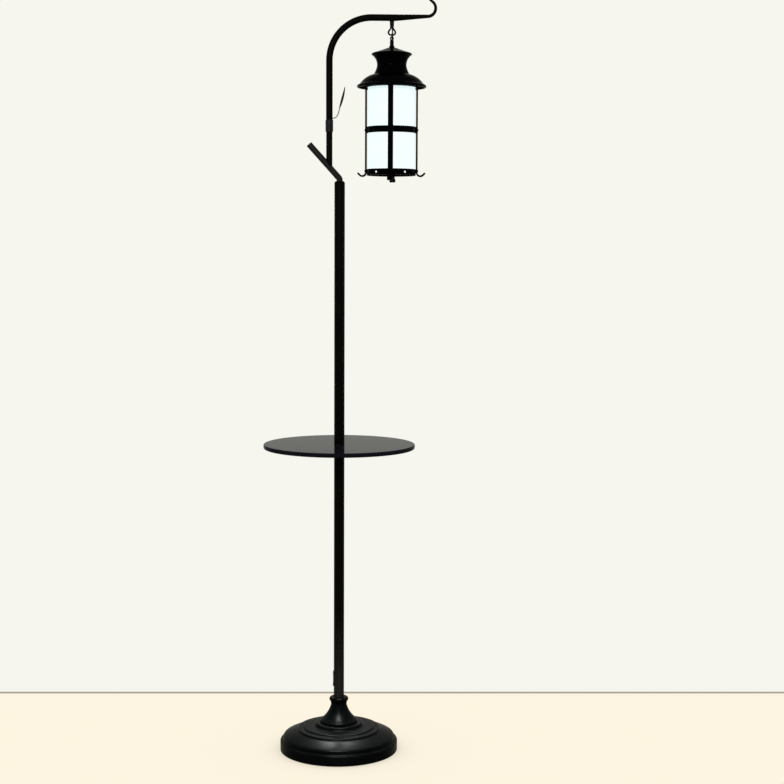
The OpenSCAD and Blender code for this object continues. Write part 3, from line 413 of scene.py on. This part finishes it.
bell = {
    "foot": [(5.2, 60, 0), (39.6, 60, 0), (40.5, 60.8, 0.7), (40.5, 63.6, 0.9), (39.8, 64.9, 0)],
    "flare": ((39.6, 65.3), (16.75, 99), 3.6),
    "bead": ((15.5, 110.5), 5, -62, 118),
    "socket": [(11.9, 115.2), (11.15, 114.2), (11.05, 112), (11.02, 102.6), (5.2, 102.6)]}
bellLine = np.concatenate([softened(bell["foot"]), bowed(*bell["flare"], 26), circleArc(*bell["bead"], 16),
                           bell["socket"]])
lathe("neckBell", bellLine, baseBlack, "root", "neck_bell", 128)
print("base made")


pole = {"radius": 11, "wall": 1.2, "low": 664, "high": 1212, "edge": 0.4}


def tubeLine(radius, wall, low, high, edge):
    # A tube's cut, with a small curve on three of its corners
    return softened([(radius - wall, low, 0), (radius - edge, low, 0), (radius, low, edge),
                     (radius, high, edge), (radius - wall, high, edge), (radius - wall, low, 0)])


lathe("upperPole", tubeLine(**pole), satinBlack, "root", "upper_pole", 96)

table = {
    "recess": [[5.1, 657], [30.1, 657], [30.1, 655]],
    "edge": [(40, 655, 0), (156, 655, 0), (161, 655, 3.6), (161, 664, 2.6), (156, 664, 0), (120, 664, 0)],
    "top": [[60, 664], [5.1, 664]]}
tableLine = np.concatenate([table["recess"], softened(table["edge"], 7), table["top"]])
lathe("tableTop", tableLine, tableBlack, "root", "table_top", 256)

poleCap = {"outline": [(6.52, 1194, 0), (9.78, 1194, 0.4), (9.78, 1212, 0), (11, 1212, 0),
                       (11, 1215.2, 0.5), (8.4, 1218, 0.6), (6.52, 1218, 0.3), (6.52, 1194, 0)]}
lathe("poleCap", softened(poleCap["outline"]), satinBlack, "root", "pole_cap", 96)
print("pole and table made")


branch = {"radius": 6.5, "inner": 5.1, "edge": 0.4, "angle": 48, "length": 96, "bend": 1223, "elbow": 9,
          "foot": 1194}


def branchPath():
    # Up the pole's middle, round the elbow's arc and straight on at the angle
    slope = np.array([-cos(radians(branch["angle"])), sin(radians(branch["angle"]))])
    turn = 90 - branch["angle"]
    elbowZ = branch["bend"] - branch["elbow"] * np.tan(radians(turn / 2))
    elbow = circleArc([-branch["elbow"], elbowZ], branch["elbow"], 0, turn, 14)
    tip = np.array([0, branch["bend"]]) + slope * branch["length"]
    straight = elbow[-1] + (tip - elbow[-1]) * np.linspace(0, 1, 12)[1:, None]
    neck = np.array([0, branch["foot"]]) + (elbow[0] - [0, branch["foot"]]) * np.linspace(0, 1, 4)[:-1, None]
    return inSpace(np.concatenate([neck, elbow, straight]))


def makeBranch():
    # The path swept at the outer radius, a small shoulder at the tip, and back at the inner radius
    path = branchPath()
    outer, inner = swept(path, branch["radius"], 40), swept(path, branch["inner"], 40)
    tipEdge = swept(path, branch["radius"] - branch["edge"], 40)[-1:]
    last = path[-1] - path[-2]
    shoulder = outer[-1:] - last / np.linalg.norm(last) * branch["edge"]
    shell = np.concatenate([outer[:-1], shoulder, tipEdge, inner[::-1]])
    return skin("branchTube", [(shell, True, ())], branchGrey)


show(outward(makeBranch()), "root", "branch_tube")

post = {"x": -21.8, "radius": 6.5, "inner": 5.1, "low": 1275, "top": 1332, "seat": 0.02}


def makePost():
    # The foot's rings stand on the branch: at y its round side is sqrt(radius^2 - y^2) off its middle line,
    # and that line's height follows from x. Level rings go on to the top.
    a = np.linspace(0, 2 * pi, 56, endpoint=False)
    slope = np.array([-cos(radians(branch["angle"])), sin(radians(branch["angle"]))])
    up = np.array([sin(radians(branch["angle"])), cos(radians(branch["angle"]))])

    def footRing(radius):
        x, y = post["x"] + radius * np.cos(a), radius * np.sin(a)
        lift = np.sqrt(np.maximum((branch["radius"] + post["seat"]) ** 2 - y ** 2, 0))
        s = (x - up[0] * lift) / slope[0]
        return np.stack([x, y, branch["bend"] + slope[1] * s + up[1] * lift], -1)

    feet = np.stack([footRing(post["inner"]), footRing(post["radius"])])
    levels = [(post["radius"], z) for z in np.linspace(post["low"], post["top"], 6)]
    shaft = turned(levels + [(post["inner"], post["top"])], (post["x"], 0), 56)
    return skin("armPost", [(np.concatenate([feet, shaft]), True, ())], satinBlack)


show(outward(makePost()), "root", "arm_post")

ferrule = {"outline": [(6.52, 1320, 0), (7.4, 1320, 0), (8, 1320.6, 0.4), (8, 1344.2, 0.5),
                       (7.4, 1345, 0.3), (6.95, 1345, 0), (6.95, 1332, 0), (6.52, 1332, 0),
                       (6.52, 1320, 0)]}
lathe("ferrule", softened(ferrule["outline"]), branchGrey, "root", "ferrule", 72, (post["x"], 0))
print("branch made")


crook = {"x": post["x"], "radius": 6.9, "bendR": 88.3, "foot": 1332.3, "armZ": 1555.5, "arm": 47,
         "taper": 68.5, "taperR": 3.6, "ease": 0.35, "curlR": 16.8, "curlTurn": 138, "tip": 17.1,
         "tipR": 2.6}


def crookLines():
    # Upright, quarter round and straight arm, then a taper that rises by ease (3 t^2 - 2 t^3) + (1 - ease) t
    # of its lift, the curl's arc and a straight tip; the radius falls evenly over the taper and the rest
    bendX, bendZ = crook["x"] + crook["bendR"], crook["armZ"] - crook["bendR"]
    armEnd = bendX + crook["arm"]
    taperEnd = armEnd + crook["taper"]
    lift = crook["radius"] - crook["taperR"]
    upright = np.stack([np.full(12, crook["x"]), np.linspace(crook["foot"], bendZ, 12)], -1)[:-1]
    bend = circleArc([bendX, bendZ], crook["bendR"], 180, 90, 44)
    arm = np.stack([np.linspace(bendX, armEnd, 8), np.full(8, crook["armZ"])], -1)[1:]
    t = np.linspace(0, 1, 16)[:, None]
    rise = t * t * (3 - 2 * t) * crook["ease"] + t * (1 - crook["ease"])
    taper = np.hstack([armEnd + crook["taper"] * t, crook["armZ"] + lift * rise])
    curlZ = crook["armZ"] + lift + crook["curlR"]
    last = crook["curlTurn"] - 90
    curl = circleArc([taperEnd, curlZ], crook["curlR"], -90, last, 36)
    ahead = np.array([-sin(radians(last)), cos(radians(last))])
    tip = curl[-1] + ahead * crook["tip"] * np.linspace(0, 1, 6)[1:, None]
    scroll = np.concatenate([taper, curl[1:], tip])
    travelled = np.concatenate([[0], np.cumsum(np.linalg.norm(np.diff(scroll, axis=0), axis=1))])
    radius = np.where(
        travelled < crook["taper"],
        crook["radius"] + (crook["taperR"] - crook["radius"]) * np.clip(travelled / crook["taper"], 0, 1),
        crook["taperR"] + (crook["tipR"] - crook["taperR"]) * (travelled - crook["taper"]) /
        (travelled[-1] - crook["taper"]))
    return np.concatenate([upright, bend, arm]), scroll, radius


crookLine, scrollLine, scrollRadius = crookLines()


def makeCrook():
    # Both lines swept as one tube, round at the tip; its foot, inside the ferrule, stays flat
    path = np.concatenate([crookLine, scrollLine[1:]])
    radius = np.concatenate([np.full(len(crookLine), crook["radius"]), scrollRadius[1:]])
    path3, radius = roundEnded(inSpace(path), radius)
    return skin("crookTube", [(swept(path3[5:], radius[5:], 36), False, ("first", "last"))], satinBlack)


show(outward(makeCrook()), "crook", "crook_upright", "crook_bend", "crook_arm", "crook_scroll")

leaf = {"lean": 14, "length": 47, "width": 19, "tip": 0.6, "thick": 0.9, "bow": 2.6, "fold": 3.8,
        "rib": 0.22, "vein": 0.14, "veins": 9, "wave": 0.015, "stem": 0.9,
        "stemPath": [[-14.8, 1348.4], [-11.8, 1348.6], [-7.4, 1350.6], [-3.4, 1357.4], [-0.8, 1367.4]]}


def makeStem():
    # A round wire along the smooth curve through the stem's points
    path, radius = roundEnded(inSpace(smoothLine(leaf["stemPath"], 8)), leaf["stem"])
    return skin("leafStem", [(swept(path, radius, 16), False, ("first", "last"))], satinBlack)


show(outward(makeStem()), "crook", "leaf_stem")


def makeLeaf():
    # middle(t) + s w(t) across, sunk by fold (w / widest) |s|^1.2 and lifted on the rib and veins, on both
    # faces; w(t) = tip + (widest - tip) sin(pi t^0.85)^0.8, with a faint wave
    lean = radians(leaf["lean"])
    along, out = np.array([sin(lean), cos(lean)]), np.array([cos(lean), -sin(lean)])
    widest = leaf["width"] / 2
    t = np.linspace(0, 0.99, 61)[:, None]
    s = np.concatenate([np.linspace(-1, 1, 33), np.linspace(1, -1, 33)])[None]
    face = np.concatenate([np.ones(33), -np.ones(33)])[None]
    w = leaf["tip"] + (widest - leaf["tip"]) * np.sin(pi * t ** 0.85) ** 0.8
    w = w * (1 + leaf["wave"] * np.sin(26 * t) * np.sin(pi * t))
    edge = np.sqrt(np.clip(1 - np.abs(s) ** 6, 0.05, 1))
    furrow = 0.5 + 0.5 * np.cos(2 * pi * (t * leaf["veins"] - np.abs(s) * 1.3))
    relief = leaf["rib"] * np.exp(-(s * 7) ** 2) - leaf["vein"] * np.abs(s) * furrow
    rise = face * leaf["thick"] / 2 * edge * 0.75 - leaf["fold"] * w / widest * np.abs(s) ** 1.2 + relief
    bow = out * leaf["bow"] * 4 * t * (1 - t)
    middle = np.array(leaf["stemPath"][-1]) + along * (leaf["length"] * t + 0.2) + bow
    grid = np.stack([middle[:, :1] + out[0] * rise, s * w, middle[:, 1:] + out[1] * rise], -1)
    return skin("leafBlade", [(grid, False, ("first", "last"))], satinBlack, 50)


show(outward(makeLeaf()), "crook", "leaf_blade")
print("crook made")


hanger = {"x": 108, "radius": 1.8, "loopZ": 1519.8, "half": [
    [2.9, 1548.9], [2.4, 1540.9], [2.1, 1535.8], [3.5, 1531.8], [6.6, 1527.8], [7.2, 1524.4], [4.75, 1520.9]]}
lanternAxis = (hanger["x"], 0)


def makeHanger():
    # A wire down one half, through the loop's lowest point and up the other half
    half = np.array(hanger["half"])
    route = np.concatenate([[hanger["x"], 0] + half * [-1, 1], [[hanger["x"], hanger["loopZ"]]],
                            ([hanger["x"], 0] + half)[::-1]])
    path = inSpace(smoothLine(route, 8))
    return skin("hangerLoop", [(swept(path, hanger["radius"], 16), False, ("first", "last"))], satinBlack)


show(outward(makeHanger()), "crook", "hanger_loop")


def hoop(centre, major, minor, plane, steps=56, sides=18):
    # centre + (major + minor cos b)(cos a, sin a) in its plane, minor sin b across it
    a = np.linspace(0, 2 * pi, steps, endpoint=False)[:, None]
    b = np.linspace(0, 2 * pi, sides, endpoint=False)[None]
    reach = major + minor * np.cos(b)
    flat, high, off = reach * np.cos(a), reach * np.sin(a), minor * np.sin(b) + 0 * a
    places = [off, flat, high] if plane == "yz" else [flat, off, high]
    return np.stack(places, -1) + np.array(centre, float)


ring = {"z": 1518.2, "major": 4.8, "minor": 1.1}
ringGrid = hoop((*lanternAxis, ring["z"]), ring["major"], ring["minor"], "yz")
show(outward(skin("swingRing", [(ringGrid, True, ())], satinBlack)), "link", "swing_ring")

bolt = {"eyeZ": 1513.1, "major": 3, "minor": 1.3, "radius": 4,
        "shank": [(0.4, 1509.9, 0), (3, 1509.8, 0.8), (4, 1508.6, 0.8), (4, 1493.4, 0)],
        "threadTop": 1493.2, "threadLength": 73.6, "turns": 30, "deep": 0.35, "tip": (0.4, 1419.4)}


def makeBolt():
    # An eye on a shank; in the thread the radius dips by deep (0.5 - 0.5 cos) once a turn
    t = np.linspace(0, 1, 181)
    dip = bolt["deep"] * (0.5 - 0.5 * np.cos(t * bolt["turns"] * 2 * pi))
    thread = np.stack([bolt["radius"] - dip, bolt["threadTop"] - bolt["threadLength"] * t], -1)
    line = np.concatenate([softened(bolt["shank"]), thread, [bolt["tip"]]])
    eye = hoop((*lanternAxis, bolt["eyeZ"]), bolt["major"], bolt["minor"], "xz")
    return skin("eyeBolt", [(eye, True, ()), (turned(line, lanternAxis, 24), False, ("first", "last"))],
                satinBlack)


show(outward(makeBolt()), "lantern", "eye_bolt")
print("hanger made")


collar = {"low": 1492.6, "outline": [(4.05, 0, 0), (6, 0, 0), (6.18, 0.3, 0.2), (5.6, 2.8, 0.8),
                                     (5.1, 5.2, 0.4), (4.8, 5.6, 0.2), (4.05, 5.6, 0), (4.05, 0, 0)]}
collarLine = softened(collar["outline"]) + [0, collar["low"]]
lathe("capCollar", collarLine, satinBlack, "lantern", "cap_collar", 72, lanternAxis)

lanternCap = {
    "neck": [(4.1, 1492.6), (7, 1492.6)],
    "step": [(8, 1492.6, 0), (9, 1492.6, 0.5), (10.6, 1491.95, 0.5), (11.4, 1491.7, 0)],
    "slope": ((11.6, 1491.6), (39.2, 1482.2), -0.2),
    "rim": [(40, 1481.8, 0), (41.2, 1481, 0.6), (41.2, 1479.9, 0.5), (40.6, 1479.8, 0.2), (38.4, 1479.8, 0)],
    "wall": 1.1}
capLine = np.concatenate([lanternCap["neck"], softened(lanternCap["step"]),
                          bowed(*lanternCap["slope"], 14), softened(lanternCap["rim"])])
lathe("lanternCap", walled(capLine, lanternCap["wall"]), glossBlack, "lantern", "lantern_cap", 144,
      lanternAxis)

chimney = {"upper": ((40.2, 1479.8), (29.6, 1459.6), -2.6), "lower": ((29.6, 1456.6), (36.5, 1439.4), -0.9),
           "wall": 1.1}
chimneyLine = np.concatenate([bowed(*chimney["upper"], 18), bowed(*chimney["lower"], 14)])
lathe("chimney", walled(chimneyLine, chimney["wall"]), glossBlack, "lantern", "chimney", 144, lanternAxis)

roof = {
    "neck": [(32.5, 1439.4), (36.4, 1439.4), (38.2, 1438.5)],
    "slope": ((39.5, 1437.8), (63.7, 1421.6), 2.4), "brim": ((64.2, 1421.2), (70.8, 1416), -0.5),
    "rim": [(70.9, 1415.8, 0), (71.2, 1414.6, 0.5), (71.2, 1413.2, 0.5), (70.6, 1413, 0.3), (69.6, 1413, 0)],
    "wall": 1.2}
roofLine = np.concatenate([roof["neck"], bowed(*roof["slope"], 22), bowed(*roof["brim"], 8)[1:],
                           softened(roof["rim"])])
lathe("roof", walled(roofLine, roof["wall"]), glossBlack, "lantern", "roof", 176, lanternAxis)
print("roof made")


glass = {"outline": [(46.5, 1234.4, 0), (47, 1234.4, 0), (49.5, 1234.4, 1.2), (49.5, 1300, 0),
                     (49.5, 1360, 0), (49.5, 1423.4, 1.2), (46.5, 1423.4, 1.2), (46.5, 1330, 0),
                     (46.5, 1234.4, 0.4), (47, 1234.4, 0)]}
glassLine = softened(glass["outline"])[:-1]  # the last point is there only to round the one before it
lathe("glassCylinder", glassLine, frostedGlass, "lantern", "glass_cylinder", 160, lanternAxis)

strap = {"width": 11, "thick": 3.8, "edge": 0.45, "outer": 51.3, "top": 1427.8, "bottomZ": 1236.6,
         "hookR": 7.6, "hookEnd": 315, "endR": 6.5, "flareFrom": 0.45,
         "drop": {"front": 9, "back": 9, "left": 0, "right": 0},
         "angle": {"front": -94, "back": 86, "left": 176, "right": -4}}


def makeStrap(side):
    # A rounded flat section swept down, round the hook and straight on; its half width grows to the
    # round end's, where it is sqrt(endR^2 - h^2) at h beyond the end's middle
    hookZ = strap["bottomZ"] - strap["drop"][side]
    middle = strap["outer"] + strap["thick"] / 2
    down = np.stack([np.full(40, middle), np.linspace(strap["top"], hookZ, 40)], -1)
    around = circleArc([middle + strap["hookR"], hookZ], strap["hookR"], 180, strap["hookEnd"], 32)[1:]
    turn = np.linspace(0, pi / 2, 16)[1:]
    lean = radians(strap["hookEnd"] + 90)
    up = around[-1] + np.outer(strap["endR"] * np.sin(turn) * 0.995, [cos(lean), sin(lean)])
    line = np.concatenate([down, around, up])
    spread = np.clip((np.arange(32) / 31 - strap["flareFrom"]) / (1 - strap["flareFrom"]), 0, 1)
    spread = spread * spread * (3 - 2 * spread)
    half = np.concatenate([
        np.full(40, strap["width"] / 2),
        strap["width"] / 2 + (strap["endR"] - strap["width"] / 2) * spread,
        np.maximum(strap["endR"] * np.cos(turn), 0.3)])
    along = np.gradient(line, axis=0)
    along /= np.linalg.norm(along, axis=1)[:, None]
    normal = np.stack([along[:, 1], -along[:, 0]], -1)
    edge = strap["edge"]
    outline = np.array([(sx, st, edge * cos(a), edge * sin(a))
                        for sx, st, start in ((1, 1, 0), (-1, 1, 90), (-1, -1, 180), (1, -1, 270))
                        for a in np.radians([start, start + 45, start + 90])])
    across = outline[None, :, 0] * (half[:, None] - edge) + outline[None, :, 2]
    across = np.where(half[:, None] > edge, across, outline[None, :, 2] * 0.6)
    off = outline[:, 1] * (strap["thick"] / 2 - edge) + outline[:, 3]
    radial = line[:, :1] + normal[:, :1] * off[None]
    z = line[:, 1:] + normal[:, 1:] * off[None]
    a = radians(strap["angle"][side])
    grid = np.stack([lanternAxis[0] + radial * cos(a) - across * sin(a),
                     radial * sin(a) + across * cos(a), z], -1)
    return skin("strap" + side.capitalize(), [(grid, False, ("first", "last"))], glossBlack)


for side in strap["angle"]:
    show(outward(makeStrap(side)), "lantern", "strap_" + side)

rivets = {"levels": (1424.8, 1324.4, 1239.4), "onStrap": {"start": 55.1, "radius": 1.5, "head": 2.7},
          "seamLevels": (1324.4, 1236.6), "onSeam": {"start": 51.35, "radius": 1.05, "head": 2.25},
          "seam": 13, "high": 1.3, "shank": 1.5,
          "dome": ((1, 0), (1, 0.25), (0.9, 0.6), (0.66, 0.86), (0.3, 1))}


def rivetGrid(angle, z, start, radius, head):
    # A domed head on a shank, turned about the direction that points outwards at this angle
    foot = start - rivets["shank"]
    dome = [(head * r, start + h * rivets["high"]) for r, h in rivets["dome"]]
    line = np.array([(0.05, foot), (radius, foot), (radius, start), *dome, (0.05, start + rivets["high"])])
    b = np.linspace(0, 2 * pi, 20, endpoint=False)
    across, up, out = line[:, :1] * np.cos(b), line[:, :1] * np.sin(b), line[:, 1:] + 0 * b
    a = radians(angle)
    return np.stack([lanternAxis[0] + out * cos(a) - across * sin(a),
                     out * sin(a) + across * cos(a), z + up], -1)


def makeRivets():
    grids = [rivetGrid(angle, z, **rivets["onStrap"])
             for angle in strap["angle"].values() for z in rivets["levels"]]
    grids += [rivetGrid(strap["angle"]["front"] - rivets["seam"], z, **rivets["onSeam"])
              for z in rivets["seamLevels"]]
    return skin("strapRivets", [(grid, False, ("first", "last")) for grid in grids], glossBlack)


show(outward(makeRivets()), "lantern", "strap_rivets")
print("lantern made")


finishes = {
    satinBlack: ["lower_pole", "inlet_plate", "branch_end_cap"],
    glossBlack: ["gallery", "middle_band", "bottom_band", "glass_clips"],
    castIron: ["base_weight"], padFoam: ["base_pad"],
    platedSteel: ["base_rod", "base_nut", "base_washer", "lower_foot_plug", "lower_top_plug", "inlet_screws",
                  "pole_nipple", "table_washer", "upper_foot_plug", "stop_screw", "stirrup", "bulb_cap",
                  "bolt_nut"],
    turnedBrass: ["holder_nipple", "holder_nuts", "holder_contact"], bakelite: ["lampholder"],
    wireSheath: ["stand_wire", "crook_wire"], grommetRubber: ["arm_grommet", "cap_grommet"],
    bulbGlass: ["bulb_glass"]}

for material, names in finishes.items():
    for name in names:
        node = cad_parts[name]
        node.data.materials.clear()
        node.data.materials.append(material)
print("finishes set")


stage = {
    "reach": 5, "edge": 0.4255, "slope": -0.01635, "seam": 0.004,  # metres
    "shadowReach": 0.2, "shadow": 0.62,
    "floor": (0.985, 0.913, 0.752), "floorMatt": (0.2, 0.18, 0.15),
    "line": (0.5, 0.45, 0.37), "lineMatt": (0.1, 0.09, 0.08),
    "wall": (0.922, 0.922, 0.856, 1), "studio": (0.22, 0.22, 0.215, 1)}


def showsIn(tree, shader, other):
    # The first shader to the camera, to gloss and through glass; the second to matt light
    camera, gloss, through = (addNode(tree, "ShaderNodeLightPath", {}, out=ray)
                              for ray in ("Is Camera Ray", "Is Glossy Ray", "Is Transmission Ray"))
    return addNode(tree, "ShaderNodeMixShader", {0: camera + gloss + through, 1: other, 2: shader}).socket


def stagePlane(name, corners, colour, matt):
    # A flat pale surface, darker by a soft contact shadow near what stands on it
    mesh = bpy.data.meshes.new(name)
    mesh.from_pydata(corners, [], [tuple(range(len(corners)))])
    made = bpy.data.objects.new(name, mesh)
    bpy.context.scene.collection.objects.link(made)
    surface = bpy.data.materials.new(name)
    surface.use_nodes = True
    tree = surface.node_tree
    tree.nodes.clear()
    near = addNode(tree, "ShaderNodeAmbientOcclusion", {"Distance": stage["shadowReach"]}, out="AO")
    shade = near.ramp(0.2, 1.0, [v * stage["shadow"] for v in colour], colour)
    glow = addNode(tree, "ShaderNodeEmission", {"Color": shade})
    diffuse = addNode(tree, "ShaderNodeBsdfDiffuse", {"Color": (*matt, 1)})
    tree.links.new(showsIn(tree, glow, diffuse), tree.nodes.new("ShaderNodeOutputMaterial").inputs[0])
    mesh.materials.append(surface)


def makeFloor():
    # The floor's far edge stands at edge + slope x; a thin dark line rises on it
    far, rise = stage["reach"], stage["seam"]
    left, right = (stage["edge"] + stage["slope"] * x for x in (-far, far))
    stagePlane("floor", [(-far, -far, 0), (far, -far, 0), (far, right, 0), (-far, left, 0)],
               stage["floor"], stage["floorMatt"])
    stagePlane("floorSeam", [(-far, left, 0), (far, right, 0), (far, right, rise), (-far, left, rise)],
               stage["line"], stage["lineMatt"])


def makeWorld():
    # The pale wall, and a dimmer studio for matt light
    world = bpy.data.worlds.new("studio")
    bpy.context.scene.world = world
    world.use_nodes = True
    tree = world.node_tree
    wall = tree.nodes["Background"]
    wall.inputs["Color"].default_value = stage["wall"]
    studio = addNode(tree, "ShaderNodeBackground", {"Color": stage["studio"]})
    seen = showsIn(tree, Wire(tree, wall.outputs[0]), studio)
    tree.links.new(seen, tree.nodes["World Output"].inputs["Surface"])


lights = {  # place, aim, size, watts and spread in degrees
    "keyLight": ((-0.45, -3.3, 2.1), (0, 0, 0.9), (0.2, 0.2), 40, 180),
    "bellLight": ((-0.01, -0.24, 0.48), (0, -0.07, 0.03), (0.16, 0.16), 1.65, 38),
    "baseLight": ((-0.01, 0.26, 0.5), (0, -0.05, 0.03), (0.16, 0.12), 0.75, 38),
    "rightFill": ((3.4, -0.6, 1.6), (0, 0, 0.8), (1.4, 2.0), 12, 180),
    "leftFill": ((-3.4, 0.6, 1.6), (0, 0, 0.8), (1.4, 2.0), 12, 180)}


def softbox(name, place, aim, size, power, spread):
    lamp = bpy.data.lights.new(name, "AREA")
    lamp.shape, lamp.size, lamp.size_y = "RECTANGLE", *size
    lamp.energy, lamp.spread = power, radians(spread)
    made = bpy.data.objects.new(name, lamp)
    ahead = Vector(aim) - Vector(place)
    made.rotation_euler = ahead.to_track_quat("-Z", "Y").to_euler()
    made.location = place
    made.visible_camera = False
    bpy.context.scene.collection.objects.link(made)


makeFloor()
makeWorld()
for name, values in lights.items():
    softbox(name, *values)
bpy.context.scene.view_settings.view_transform = "Standard"
print("stage set")
